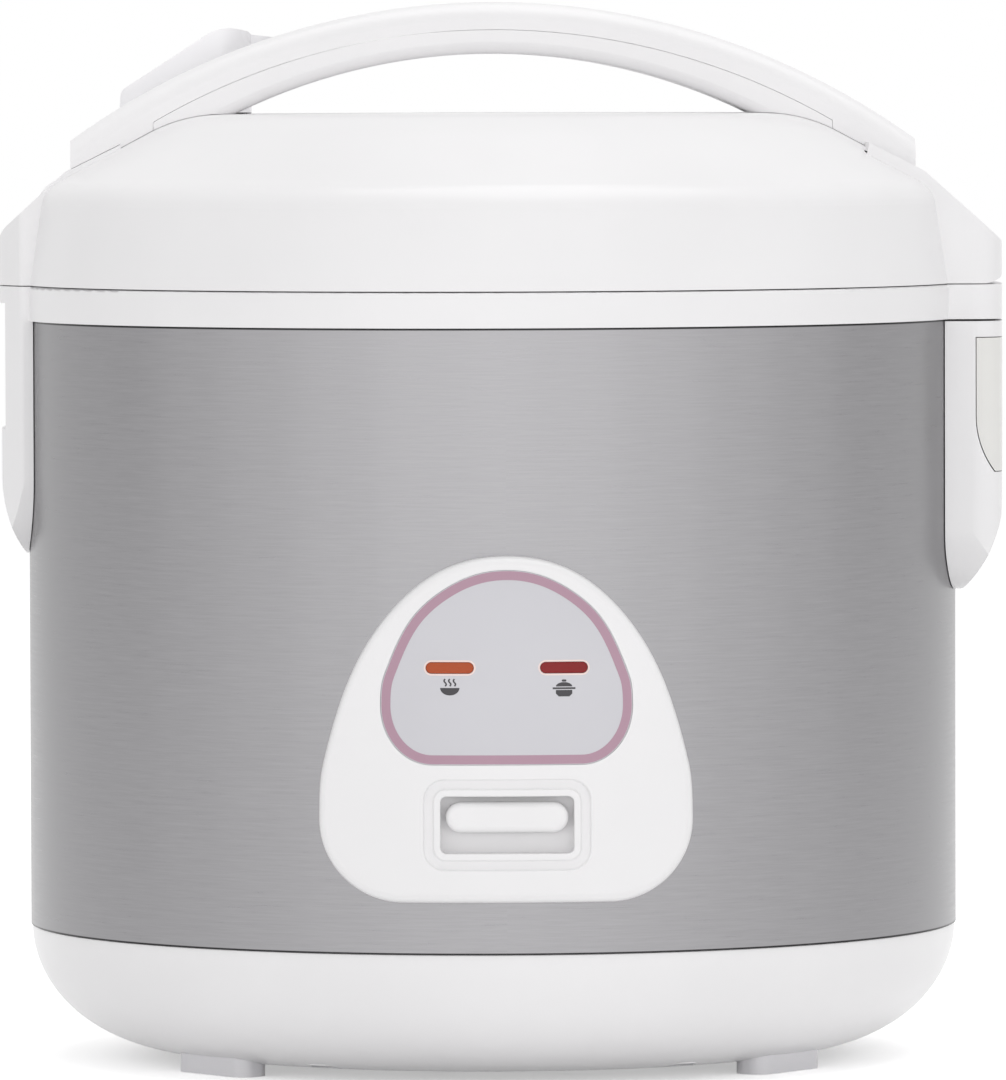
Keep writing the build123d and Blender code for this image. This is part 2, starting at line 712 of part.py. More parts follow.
def lid_base():
    """Inner shell with a rim, the grommet pin, hinge knuckles and the vent hole."""
    low, high = LID_BASE_Z
    rim = LID_BASE_R - 4.7
    base = turned([(0, low), (rim, low), (rim, LID_Z), (LID_BASE_R, LID_Z), (LID_BASE_R, high), (0, high)])
    base += post(0, 0, 3, 221.6, 227)
    for near, far in KNUCKLES_Y:
        for y0, y1 in ((near, far), (-far, -near)):
            web = block((126, AXIS_X), (y0, y1), (LID_Z + 1.6, high))
            web += block((AXIS_X - LUG_R, AXIS_X), (y0, y1), (LID_Z + 1.6, AXIS_Z))
            base += web + bar_y(AXIS_X, AXIS_Z, LUG_R, y0, y1)
    base -= bar_y(AXIS_X, AXIS_Z, PIN_R + RUNNING, -40, 40)
    for x, y in LID_SCREWS:
        base -= post(x, y, 1.7, 225, 231) + post(x, y, 3.8, 225, LID_SCREW_SEAT)
    base -= block((-140, -131), (-8, 8), (220, 232))
    return base - post(VENT_X, VENT_Y, 6, 220, 232)


def lid_catch():
    """Hook on the lid's rim that the release button holds."""
    hook = block((-136.2, -134.8), (-7, 7), (213.6, 231.6))
    hook += block((-136.2, -118), (-7, 7), (230, 231.6))
    return hook + block((-134.9, -133.9), (-7, 7), (213.6, 215.6))


def lid_screws():
    return Compound(children=[screw(x, y, LID_SCREW_SEAT, 241, 1.6, 3.4, 1.6) for x, y in LID_SCREWS])


def inner_lid():
    """Aluminium disc with steam holes."""
    disc = post(0, 0, 114, *INNER_LID_Z) - post(0, 0, 6.2, 220, 230)
    for index in range(8):
        x, y = polar(60, 45 * index)
        disc -= post(x, y, 1.6, 220, 230)
    return disc


def inner_lid_gasket():
    """Ring round the disc that seals on the pot's rim."""
    low, high = SEAL_SLOT_Z
    return turned([
        (112, 222.9), (124, 222.9), (124, 224.2), (118, 226.6), (112, 226.6),
        (112, high), (114.1, high), (114.1, low), (112, low),
    ])


def inner_lid_grommet():
    """Rubber button that grips the pin of the lid."""
    low, high = SEAL_SLOT_Z
    return turned([
        (3.05, 221), (9, 221), (9, low), (6, low), (6, high), (9, high), (9, 226.7), (3.05, 226.7),
    ], [0, 1.5] + [0] * 6)


def steam_boot():
    """Rubber tube between the lid's base and its vent."""
    return post(VENT_X, VENT_Y, 8, LID_BASE_Z[1], 262) - post(VENT_X, VENT_Y, 5.6, 220, 270)


def steam_vent_cap():
    """Clear hollow cap with a hipped top, a finger lip, steam slits and a tube that plugs into the boot."""
    left, right = CAP_X
    low, high = CAP_EAVES
    roof = [(left, 240), (left + CAP_LEAN, low), CAP_RIDGE, (right, high), (right, 240)]
    face = make_face(FilletPolyline(*roof, radius=[0, 3, 12, 2, 0], close=True))
    plan = Pos((left + right) / 2, VENT_Y) * RectangleRounded(right - left, 2 * CAP_HALF_Y, 9)
    cap = across(face, 90) & upright(plan, 240, 310)
    inner_face = offset(face, -CAP_WALL, kind=Kind.INTERSECTION)
    inner_plan = offset(plan, -CAP_WALL, kind=Kind.INTERSECTION)
    cap -= across(inner_face, 90) & upright(inner_plan, 230, 310)
    cap -= lid_form(-0.35, 220)
    bore = post(VENT_X, VENT_Y, 3.6, 250, 300)
    cap += post(VENT_X, VENT_Y, 5.1, 254, 292) - bore
    cap += (upright(plan, *CAP_FLOOR_Z) & across(face, 90)) - bore
    for index in range(CAP_SLITS):
        middle = VENT_Y + SLIT_PITCH * (index - (CAP_SLITS - 1) / 2)
        cap -= block((-81, -72.5), (middle - 1.25, middle + 1.25), (293, 305))
    return cap + vent_lip()


def vent_lip():
    """Rounded plate that carries the slope of the cap's top outwards."""
    end_x, end_z = LIP_END
    root_x, root_z = CAP_X[1] - 1.0, CAP_EAVES[1] - 0.6
    corners = [(root_x, root_z), (end_x, end_z), (end_x, end_z - 2), (root_x, root_z - 3)]
    slope = make_face(Polyline(*corners, close=True))
    reach = end_x - root_x + 12
    plan = Pos(end_x - reach / 2, VENT_Y) * RectangleRounded(reach, 2 * LIP_HALF_Y, 5)
    return across(slope, 90) & upright(plan, 280, 310)


def handle_disc(arc, inset=0.0):
    centre, radius = arc
    return Pos(0, centre) * Circle(radius - inset)


def handle_plan(inset):
    end, mid, half = HANDLE_END - inset, HANDLE_MID_HALF - inset, HANDLE_END_HALF - inset
    front = ThreePointArc((-end, -half), (0, -mid), (end, -half))
    back = ThreePointArc((-end, half), (0, mid), (end, half))
    return make_face([front, back, Line((-end, -half), (-end, half)), Line((end, -half), (end, half))])


def handle_shell(upper):
    """Upper or lower half of the arched handle, seated on the lid."""
    arch = handle_disc(HANDLE_OUT) - handle_disc(HANDLE_IN)
    arch &= Pos(0, 300) * Rectangle(2 * HANDLE_END, 130)
    room = handle_disc(HANDLE_OUT, HANDLE_WALL) - handle_disc(HANDLE_IN, -HANDLE_WALL)
    room &= Pos(0, 300) * Rectangle(168, 60)
    span = Pos(0, 250) * Rectangle(2 * HANDLE_JOIN, 200)
    if upper:
        arch -= handle_disc(HANDLE_SEAM) & span
    else:
        arch &= handle_disc(HANDLE_SEAM, HANDLE_GAP) & offset(span, -HANDLE_GAP, kind=Kind.INTERSECTION)
    shell = across(arch, 40) & upright(handle_plan(0), 230, 310)
    edge = HANDLE_OUT if upper else HANDLE_IN
    long_edges = [e for e in shell.edges() if on_arc(e, edge)]
    shell = fillet(long_edges, 5.0 if upper else 3.5)
    shell -= across(room, 40) & upright(handle_plan(HANDLE_WALL), 230, 310)
    shell -= lid_form(-0.12, 220)
    for x, y in HANDLE_SCREWS:
        shell -= post(x, y, 1.95, 250, HANDLE_TIP + 0.3)
    return shell


def on_arc(edge, arc):
    """True for an edge that lies along one of the handle's arcs, front or back."""
    centre, radius = arc
    points = [edge @ 0, edge @ 0.5, edge @ 1]
    return all(abs(math.hypot(p.X, p.Z - centre) - radius) < 0.02 and abs(p.Y) > 10 for p in points)


def handle_screws():
    return Compound(children=[screw(x, y, 258, HANDLE_TIP, 1.9, 3.8) for x, y in HANDLE_SCREWS])


def hinge_pin():
    return bar_y(AXIS_X, AXIS_Z, PIN_R, -26.8, 26.8)


def hinge_spring():
    """Torsion coil round the middle of the pin."""
    return Pos(AXIS_X, 0, AXIS_Z) * Rot(90, 0, 0) * coil(2.6, 0.5, -8, 8, 5)


# Lid release

def release_button():
    """Curved plate with two arms and the bar that holds the hook."""
    front = latch_plan(2.9)
    plate = upright(front, 184.1, 219.7) & block((-150, -138.3), (-12.4, 12.4), (180, 222))
    plate -= block((-138.9, -138), (-7.8, 7.8), (205, 222))
    for y0, y1 in ((9.4, 12.2), (-12.2, -9.4)):
        plate += block((-138.6, -131.8), (y0, y1), (214.5, 217.6))
    return plate + block((-133.6, -131.8), (-12.2, 12.2), (215.9, 217.6))


def latch_spring():
    """Coil between the button and the band."""
    return Pos(-136.75, 0, 196) * Rot(0, 90, 0) * coil(3.4, 0.3, -1.5, 1.5, 2)


PIECES = {
    "base_shell": base_shell,
    "foot_pads": foot_pads,
    "steel_band": steel_band,
    "top_collar": top_collar,
    "collector_bracket": collector_bracket,
    "dew_collector": dew_collector,
    "control_panel": control_panel,
    "panel_screws": panel_screws,
    "panel_label": panel_label,
    "keep_warm_lens": lambda: lamp_lens(-LAMP_X),
    "cook_lens": lambda: lamp_lens(LAMP_X),
    "lamp_board": lamp_board,
    "indicator_lamps": indicator_lamps,
    "lever_arm": lever_arm,
    "cook_button": cook_button,
    "lever_bracket": lever_bracket,
    "lever_pin": lever_pin,
    "lever_spring": lever_spring,
    "magnet_plunger": magnet_plunger,
    "sensor_holder": sensor_holder,
    "sensor_cap": sensor_cap,
    "sensor_ferrite": sensor_ferrite,
    "sensor_spring": sensor_spring,
    "micro_switch": micro_switch,
    "inner_pot": inner_pot,
    "pot_liner": pot_liner,
    "heating_plate": heating_plate,
    "heater_terminals": heater_terminals,
    "plate_spacers": plate_spacers,
    "plate_screws": plate_screws,
    "base_screws": base_screws,
    "warm_thermostat": warm_thermostat,
    "thermal_fuse": thermal_fuse,
    "terminal_block": terminal_block,
    "power_inlet": power_inlet,
    "inlet_pins": inlet_pins,
    "lid_cover": lid_cover,
    "lid_base": lid_base,
    "lid_catch": lid_catch,
    "lid_screws": lid_screws,
    "inner_lid": inner_lid,
    "inner_lid_gasket": inner_lid_gasket,
    "inner_lid_grommet": inner_lid_grommet,
    "steam_boot": steam_boot,
    "steam_vent_cap": steam_vent_cap,
    "handle_upper": lambda: handle_shell(True),
    "handle_lower": lambda: handle_shell(False),
    "handle_screws": handle_screws,
    "hinge_pin": hinge_pin,
    "hinge_spring": hinge_spring,
    "release_button": release_button,
    "latch_spring": latch_spring,
}

os.makedirs("parts", exist_ok=True)
for name, make in PIECES.items():
    export_step(make(), f"parts/{name}.step")
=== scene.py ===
"""Rice cooker with a hinged lid: finishes, prints, springs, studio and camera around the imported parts."""

import json
import math

import bmesh
import bpy
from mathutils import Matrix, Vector
from mathutils.geometry import convex_hull_2d


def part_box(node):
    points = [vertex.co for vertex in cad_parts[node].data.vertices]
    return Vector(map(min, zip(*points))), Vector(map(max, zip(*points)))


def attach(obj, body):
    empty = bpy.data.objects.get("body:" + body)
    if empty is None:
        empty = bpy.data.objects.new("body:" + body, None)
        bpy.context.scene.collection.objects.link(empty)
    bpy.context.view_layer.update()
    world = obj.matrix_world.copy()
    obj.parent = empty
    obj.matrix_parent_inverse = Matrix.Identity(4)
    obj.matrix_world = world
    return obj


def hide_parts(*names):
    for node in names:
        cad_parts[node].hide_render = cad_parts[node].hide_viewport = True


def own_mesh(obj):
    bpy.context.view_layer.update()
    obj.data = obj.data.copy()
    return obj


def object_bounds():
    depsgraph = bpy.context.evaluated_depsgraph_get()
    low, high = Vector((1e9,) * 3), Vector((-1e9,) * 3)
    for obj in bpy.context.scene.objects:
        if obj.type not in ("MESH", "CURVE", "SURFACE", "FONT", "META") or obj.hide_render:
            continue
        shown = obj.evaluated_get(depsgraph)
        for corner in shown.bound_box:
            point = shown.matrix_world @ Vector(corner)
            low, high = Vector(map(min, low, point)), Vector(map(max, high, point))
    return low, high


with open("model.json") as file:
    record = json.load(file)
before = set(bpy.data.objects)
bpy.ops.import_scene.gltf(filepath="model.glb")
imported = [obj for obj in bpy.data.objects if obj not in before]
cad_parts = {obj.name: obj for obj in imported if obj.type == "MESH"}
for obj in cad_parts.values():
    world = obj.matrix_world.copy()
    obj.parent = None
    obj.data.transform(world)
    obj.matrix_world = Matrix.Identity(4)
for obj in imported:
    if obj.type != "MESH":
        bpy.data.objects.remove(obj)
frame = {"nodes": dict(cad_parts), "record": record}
cad_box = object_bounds()

MM = 0.001
X, Y, Z = 0, 1, 2

# Label: ink from just under its surface to just above it, the border, the windows' rims and the signs
LABEL_RADIUS = -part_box("panel_label")[0].y
INK_UNDER = -0.03 * MM
INK_TOP = 0.04 * MM
BORDER_EDGE = 0.2 * MM
BORDER_WIDTH = 2.5 * MM
BORDER_STEPS = 240
WINDOW_PLAY = 0.25 * MM
WINDOW_RIM = 0.6 * MM
RIM_STEPS = 96
SIGN_DROP = 5.6 * MM

# Steel band: the collar's lower edge and the painted shade lines along both edges of the sheet, standing in
# for the shadow in the gaps there
COLLAR_EDGE = 215.0 * MM
COLLAR_SHADE_LINE = 0.5 * MM
BASE_SHADE_LINE = 0.35 * MM
LINE_BLUR = 0.2 * MM
LINE_SHADE = 0.1

# Springs: steps in each turn of the wire, and how finely its section is rounded
TURN_STEPS = 24
WIRE_ROUNDNESS = 3

# Noise stays mostly between these shares
NOISE_LOW = 0.3
NOISE_HIGH = 0.7

# Studio, in metres, watts and degrees: an arc of lamps side by side, weaker away from the middle
AMBIENT = 0.61
FLOOR_SIZE = 12.0
FLOOR_DROP = 0.1 * MM
FLOOR_TINT = 0.97
FLOOR_LIFT = 0.42
TOP_LAMP_SPOT = (0.3, -0.3, 2.6)
TOP_LAMP_SIZE = 2.2
TOP_LAMP_WATTS = 25.0
LAMP_DISTANCE = 3.5
LAMP_HEIGHT = 0.45
LAMP_STEP = 20
LAMP_END = 80
LAMP_WIDTH = LAMP_DISTANCE * math.radians(LAMP_STEP)
LAMP_TALL = 0.8
LAMP_WATTS = 6.0
LAMP_FADE = 62.0

# Camera, from the perspective of the photograph; lens and sensor in millimetres
CAMERA_DISTANCE = 3.316
CAMERA_HEIGHT = 0.2865
CAMERA_SIDE = math.radians(-1.62)
CAMERA_ANGLES = (math.radians(87.646), math.radians(0.17), math.radians(-1.68))
CAMERA_LENS = 379.0
CAMERA_SENSOR = 36.0

WHITE = (1.0, 1.0, 1.0, 1.0)


def colour(red, green, blue):
    """Linear colour of an 8-bit screen colour."""
    channels = []
    for level in (red, green, blue):
        share = level / 255
        channels.append(share / 12.92 if share <= 0.04045 else ((share + 0.055) / 1.055) ** 2.4)
    return (*channels, 1.0)


# Shader helpers

def add(tree, kind, values=(), **settings):
    """New shader node, with its settings and its inputs as (socket, value or output) pairs."""
    new = tree.nodes.new("ShaderNode" + kind)
    for key, value in settings.items():
        setattr(new, key, value)
    for socket, value in values:
        if isinstance(value, bpy.types.NodeSocket):
            tree.links.new(value, new.inputs[socket])
        else:
            new.inputs[socket].default_value = value
    return new


def compute(tree, operation, first, second):
    """Result of an operation on two numbers or outputs."""
    return add(tree, "Math", [(0, first), (1, second)], operation=operation).outputs[0]


def finish(name, roughness, metallic=0.0, **sockets):
    """New material, and the sockets of its shader that stay constant."""
    material = bpy.data.materials.new(name)
    material.use_nodes = True
    shader = material.node_tree.nodes["Principled BSDF"]
    shader.inputs["Roughness"].default_value = roughness
    shader.inputs["Metallic"].default_value = metallic
    for socket, value in sockets.items():
        shader.inputs[socket.replace("_", " ")].default_value = value
    return material, material.node_tree, shader


def link(tree, shader, **sockets):
    """Outputs that drive the shader's sockets."""
    for socket, output in sockets.items():
        tree.links.new(output, shader.inputs[socket.replace("_", " ")])


def place(tree):
    """Position on the piece, in metres."""
    return add(tree, "TexCoord").outputs["Object"]


def round_place(tree, along, across):
    """Position unrolled from an upright cylinder: stretched along the turn and across it."""
    parts = add(tree, "SeparateXYZ", [(0, place(tree))])
    angle = compute(tree, "ARCTAN2", parts.outputs["X"], parts.outputs["Y"])
    turn = compute(tree, "MULTIPLY", angle, along)
    height = compute(tree, "MULTIPLY", parts.outputs["Z"], across)
    return add(tree, "CombineXYZ", [(0, turn), (1, height)]).outputs[0]


def turned_place(tree, across):
    """Distance from the upright axis plus height, for the rings that a lathe leaves."""
    parts = add(tree, "SeparateXYZ", [(0, place(tree))])
    flat = add(tree, "CombineXYZ", [(0, parts.outputs["X"]), (1, parts.outputs["Y"])])
    radius = add(tree, "VectorMath", [(0, flat.outputs[0])], operation="LENGTH")
    reach = compute(tree, "ADD", radius.outputs["Value"], parts.outputs["Z"])
    rings = compute(tree, "MULTIPLY", reach, across)
    return add(tree, "CombineXYZ", [(0, rings)]).outputs[0]


def round_the_axis(tree):
    """Tangent that runs round the upright axis."""
    return add(tree, "Tangent", direction_type="RADIAL", axis="Z").outputs[0]


def noise(tree, where, scale=1.0, detail=3.0):
    """Noise from 0 to 1, mostly near the middle."""
    return add(tree, "TexNoise", [("Vector", where), ("Scale", scale), ("Detail", detail)]).outputs[0]


def ramp(tree, share, low, high):
    """Colour that runs from low to high with a noise's share."""
    new = add(tree, "ValToRGB", [("Fac", share)])
    for element, position, tint in zip(new.color_ramp.elements, (NOISE_LOW, NOISE_HIGH), (low, high)):
        element.position = position
        element.color = tint
    return new.outputs["Color"]


def stray(tree, share, usual, below, above):
    """Number that strays below and above its usual value with a noise's share."""
    values = [("Value", share), ("From Min", NOISE_LOW), ("From Max", NOISE_HIGH),
              ("To Min", usual - below), ("To Max", usual + above)]
    return add(tree, "MapRange", values).outputs["Result"]


def bump(tree, shader, height, depth, strength):
    """Fine relief on the shader's surface."""
    relief = add(tree, "Bump", [("Height", height), ("Distance", depth), ("Strength", strength)])
    link(tree, shader, Normal=relief.outputs["Normal"])


# Materials

def moulded(name, low, high, rough, grain, **sockets):
    """Moulded plastic: slightly uneven colour and gloss, and a soft orange peel."""
    material, tree, shader = finish(name, rough, **sockets)
    where = place(tree)
    peel = noise(tree, where, scale=grain, detail=0.0)
    link(tree, shader, Base_Color=ramp(tree, noise(tree, where, scale=14.0), low, high),
         Roughness=stray(tree, peel, rough, below=0.02, above=0.02))
    bump(tree, shader, peel, depth=0.01 * MM, strength=0.05)
    return material


def white_plastic():
    return moulded("white_plastic", colour(234, 233, 234), colour(238, 237, 238), rough=0.3, grain=110.0,
                   Specular_IOR_Level=0.45)


def foot_rubber():
    return moulded("foot_rubber", colour(224, 223, 226), colour(230, 229, 232), rough=0.5, grain=240.0)


def black_plastic():
    return moulded("black_plastic", colour(36, 36, 38), colour(44, 44, 46), rough=0.45, grain=300.0)


def silicone():
    return moulded("silicone", colour(222, 222, 218), colour(230, 230, 226), rough=0.5, grain=300.0,
                   Transmission_Weight=0.15)


def ferrite():
    return moulded("ferrite", colour(58, 57, 58), colour(72, 71, 72), rough=0.6, grain=500.0)


def circuit_board():
    return moulded("circuit_board", colour(28, 88, 52), colour(38, 104, 62), rough=0.4, grain=300.0)


def label_print():
    return moulded("label_print", colour(200, 199, 204), colour(205, 204, 209), rough=0.38, grain=200.0)


def ink(name, low, high):
    """Screen ink: a thin film, a little uneven."""
    return moulded(name, low, high, rough=0.42, grain=260.0)


def painted_gap_shade(tree, tint):
    """Tint darkened by height along both edges: painted shade for the gaps under the collar and into the
    base.
    """
    height = add(tree, "SeparateXYZ", [(0, place(tree))]).outputs["Z"]
    base_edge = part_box("steel_band")[0].z
    shares = []
    # Painted shade: darkest at each edge of the sheet, fading to the plain tint over the blur
    for edge, line in ((COLLAR_EDGE, -COLLAR_SHADE_LINE), (base_edge, BASE_SHADE_LINE)):
        shaded_to = edge + line
        clear_from = shaded_to + math.copysign(LINE_BLUR, line)
        values = [("Value", height), ("From Min", shaded_to), ("From Max", clear_from), ("To Min", LINE_SHADE)]
        shares.append(add(tree, "MapRange", values).outputs["Result"])
    both = compute(tree, "MULTIPLY", *shares)
    return add(tree, "VectorMath", [(0, tint), ("Scale", both)], operation="SCALE").outputs[0]


def steel_sheet():
    """Sheet brushed round the body: long thin streaks in colour, gloss and relief."""
    rough = 0.3
    material, tree, shader = finish("steel_sheet", rough, metallic=1.0, Anisotropic=0.3,
                                    Anisotropic_Rotation=0.25, Specular_Tint=(0.9, 0.9, 0.9, 1.0))
    broad = noise(tree, round_place(tree, along=6.0, across=1100.0), detail=4.0)
    fine = noise(tree, round_place(tree, along=16.0, across=3600.0))
    streaks = compute(tree, "DIVIDE", compute(tree, "ADD", broad, fine), 2.0)
    tint = ramp(tree, streaks, colour(138, 137, 139), colour(148, 147, 149))
    # The colour carries painted shade lines along the sheet's top and bottom edges, for the shadow in the
    # gaps there
    link(tree, shader, Base_Color=painted_gap_shade(tree, tint), Tangent=round_the_axis(tree),
         Roughness=stray(tree, streaks, rough, below=0.04, above=0.06))
    bump(tree, shader, fine, depth=0.008 * MM, strength=0.3)
    return material


def turned_metal(name, low, high, rough, rings):
    """Metal with the rings of a lathe or of spinning."""
    material, tree, shader = finish(name, rough, metallic=1.0, Anisotropic=0.4)
    lines = noise(tree, turned_place(tree, rings), detail=4.0)
    cloud = noise(tree, place(tree), scale=40.0)
    link(tree, shader, Base_Color=ramp(tree, cloud, low, high), Tangent=round_the_axis(tree),
         Roughness=stray(tree, lines, rough, below=0.06, above=0.08))
    bump(tree, shader, lines, depth=0.02 * MM, strength=0.5)
    return material


def pot_aluminium():
    return turned_metal("pot_aluminium", colour(196, 196, 198), colour(208, 208, 210),
                        rough=0.32, rings=1600.0)


def cast_aluminium():
    return turned_metal("cast_aluminium", colour(168, 168, 170), colour(186, 186, 188),
                        rough=0.42, rings=900.0)


def plated(name, low, high, rough):
    """Plated metal: a cloudy colour and an uneven gloss."""
    material, tree, shader = finish(name, rough, metallic=1.0)
    where = place(tree)
    cloud = noise(tree, where, scale=220.0, detail=5.0)
    link(tree, shader, Base_Color=ramp(tree, cloud, low, high),
         Roughness=stray(tree, cloud, rough, below=0.08, above=0.1))
    bump(tree, shader, noise(tree, where, scale=2400.0), depth=0.01 * MM, strength=0.4)
    return material


def zinc_steel():
    return plated("zinc_steel", colour(176, 178, 182), colour(200, 201, 204), rough=0.34)


def brass_contact():
    return plated("brass_contact", colour(196, 164, 96), colour(214, 184, 116), rough=0.3)


def clear_moulded(name, low, high, rough, share, **sockets):
    """Plastic that lets a share of the light through, with a faint flow in its tint."""
    material, tree, shader = finish(name, rough, Transmission_Weight=share, IOR=1.47, **sockets)
    where = place(tree)
    link(tree, shader, Base_Color=ramp(tree, noise(tree, where, scale=30.0), low, high),
         Roughness=stray(tree, noise(tree, where, scale=160.0), rough, below=0.03, above=0.04))
    bump(tree, shader, noise(tree, where, scale=260.0), depth=0.02 * MM, strength=0.3)
    return material


def clear_plastic():
    return clear_moulded("clear_plastic", colour(251, 250, 252), colour(253, 252, 254), rough=0.2, share=0.03)


def cup_plastic():
    """The collector's cup, which is creamier than the vent's cap and lets more light through."""
    return clear_moulded("cup_plastic", colour(230, 229, 226), colour(234, 233, 230), rough=0.32, share=0.05)


def lamp_glass():
    return clear_moulded("lamp_glass", colour(238, 226, 214), colour(246, 238, 228), rough=0.06, share=0.9)


def amber_lens():
    return clear_moulded("amber_lens", colour(172, 70, 32), colour(182, 80, 38), rough=0.23, share=0.1,
                         Specular_IOR_Level=0.25)


def red_lens():
    return clear_moulded("red_lens", colour(134, 22, 24), colour(144, 28, 30), rough=0.23, share=0.1,
                         Specular_IOR_Level=0.25)


# One material for each slot in the record, and a finish of its own for the collector's cup

MATERIALS = {make.__name__: make() for make in (
    white_plastic, steel_sheet, foot_rubber, clear_plastic, label_print, amber_lens, red_lens,
    circuit_board, lamp_glass, zinc_steel, pot_aluminium, cast_aluminium, ferrite, black_plastic,
    brass_contact, silicone)}

for part in frame["record"]["subparts"]:
    mesh = frame["nodes"][part["node"]].data
    mesh.materials.clear()
    mesh.materials.append(MATERIALS[part["material_slot"]])

frame["nodes"]["dew_collector"].data.materials[0] = cup_plastic()


# Printed marks on the label, drawn in the front view as outlines of (x, z) points

def on_label(x, z, lift):
    """Point of the front view, carried onto the label's cylinder and lifted off it."""
    radius = LABEL_RADIUS + lift
    return Vector((x, -math.sqrt(radius * radius - x * x), z))


def printed(name, mesh, material):
    """Piece made from a mesh of ink, riding with the label."""
    data = bpy.data.meshes.new(name)
    bmesh.ops.recalc_face_normals(mesh, faces=mesh.faces)
    mesh.to_mesh(data)
    mesh.free()
    data.materials.append(material)
    piece = bpy.data.objects.new(name, data)
    bpy.context.scene.collection.objects.link(piece)
    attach(piece, "cooker")


def ink_ring(mesh, outline, lift):
    """Points of an outline, carried onto the label."""
    return [mesh.verts.new(on_label(x, z, lift)) for x, z in outline]


def ink_wall(mesh, ring, following):
    """Closed strip of faces between two rings of points."""
    count = len(ring)
    for i in range(count):
        j = (i + 1) % count
        mesh.faces.new((ring[i], ring[j], following[j], following[i]))


def print_band(mesh, outer, inner):
    """Closed band of ink between two outlines."""
    layers = ((outer, INK_UNDER), (outer, INK_TOP), (inner, INK_TOP), (inner, INK_UNDER))
    rings = [ink_ring(mesh, outline, lift) for outline, lift in layers]
    for ring, following in zip(rings, rings[1:] + rings[:1]):
        ink_wall(mesh, ring, following)


def print_patch(mesh, outline):
    """Patch of ink inside one outline."""
    under = ink_ring(mesh, outline, INK_UNDER)
    top = ink_ring(mesh, outline, INK_TOP)
    mesh.faces.new(top)
    mesh.faces.new(under)
    ink_wall(mesh, under, top)


def stadium(x, z, width, height, steps=12):
    """Slot outline about a point."""
    outline = []
    end = height / 2
    reach = width / 2 - end
    for side in (1, -1):
        for step in range(steps + 1):
            turn = math.pi * (step / steps - 0.5)
            outline.append((x + side * (reach + end * math.cos(turn)), z + side * end * math.sin(turn)))
    return outline


def half_round(x, z, half, tall, start, steps):
    """Half of an ellipse about a point, counter-clockwise from a start angle."""
    turns = [start + math.pi * step / steps for step in range(steps + 1)]
    return [(x + half * math.cos(turn), z + tall * math.sin(turn)) for turn in turns]


def direction(before, after):
    """Direction from one point to another."""
    return Vector((after[0] - before[0], after[1] - before[1])).normalized()


def stroke(points, width):
    """Outline of a line of even width through points."""
    half = width / 2
    left, right = [], []
    for i, (x, z) in enumerate(points):
        along = direction(points[max(i - 1, 0)], points[min(i + 1, len(points) - 1)])
        left.append((x - along.y * half, z + along.x * half))
        right.append((x + along.y * half, z - along.x * half))
    return left + right[::-1]


def even(outline, count):
    """Closed outline, taken again at even steps along it."""
    closed = outline + outline[:1]
    runs = [math.dist(start, end) for start, end in zip(closed, closed[1:])]
    step = sum(runs) / count
    points, index, passed = [], 0, 0.0
    for i in range(count):
        while passed + runs[index] < i * step:
            passed += runs[index]
            index += 1
        share = (i * step - passed) / runs[index]
        (x0, z0), (x1, z1) = closed[index], closed[index + 1]
        points.append((x0 + (x1 - x0) * share, z0 + (z1 - z0) * share))
    return points


def drawn_in(outline, inset):
    """Closed outline, counter-clockwise, moved inwards."""
    moved = []
    for i, (x, z) in enumerate(outline):
        along = direction(outline[i - 1], outline[(i + 1) % len(outline)])
        moved.append((x - along.y * inset, z + along.x * inset))
    return moved


def label_border():
    """Coloured border that follows the label's edge."""
    spots = [(vertex.co.x, vertex.co.z) for vertex in frame["nodes"]["panel_label"].data.vertices]
    edge = [spots[i] for i in convex_hull_2d(spots)]
    area = sum(x0 * z1 - x1 * z0 for (x0, z0), (x1, z1) in zip(edge, edge[1:] + edge[:1]))
    if area < 0:
        edge.reverse()
    edge = even(edge, BORDER_STEPS)
    mesh = bmesh.new()
    print_band(mesh, drawn_in(edge, BORDER_EDGE), drawn_in(edge, BORDER_EDGE + BORDER_WIDTH))
    printed("label_border", mesh, ink("border_ink", colour(171, 136, 153), colour(177, 143, 159)))


def window(node):
    """Middle and size of a lamp window in the front view."""
    low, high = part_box(node)
    return (low.x + high.x) / 2, (low.z + high.z) / 2, high.x - low.x, high.z - low.z


def window_rims():
    """Pale rim round each lamp window."""
    mesh = bmesh.new()
    for node in ("keep_warm_lens", "cook_lens"):
        x, z, width, height = window(node)
        inner = stadium(x, z, width + WINDOW_PLAY, height + WINDOW_PLAY)
        outer = stadium(x, z, width + 2 * WINDOW_RIM, height + 2 * WINDOW_RIM)
        print_band(mesh, even(outer, RIM_STEPS), even(inner, RIM_STEPS))
    printed("window_rims", mesh, ink("rim_ink", colour(236, 214, 208), colour(240, 220, 214)))


def steam_line(x, z):
    """Wavy line that rises from a point."""
    height, swing, width, steps = 2.0 * MM, 0.3 * MM, 0.42 * MM, 14
    points = []
    for step in range(steps + 1):
        share = step / steps
        points.append((x + swing * math.sin(2 * math.pi * share), z + height * share))
    return stroke(points, width)


def warm_sign(mesh, x, z):
    """Bowl with three lines of steam."""
    bowl_half, bowl_deep = 2.7 * MM, 2.1 * MM
    steam_lift, steam_pitch = 0.5 * MM, 1.3 * MM
    print_patch(mesh, half_round(x, z, bowl_half, bowl_deep, start=math.pi, steps=16))
    for column in (-1, 0, 1):
        print_patch(mesh, steam_line(x + column * steam_pitch, z + steam_lift))


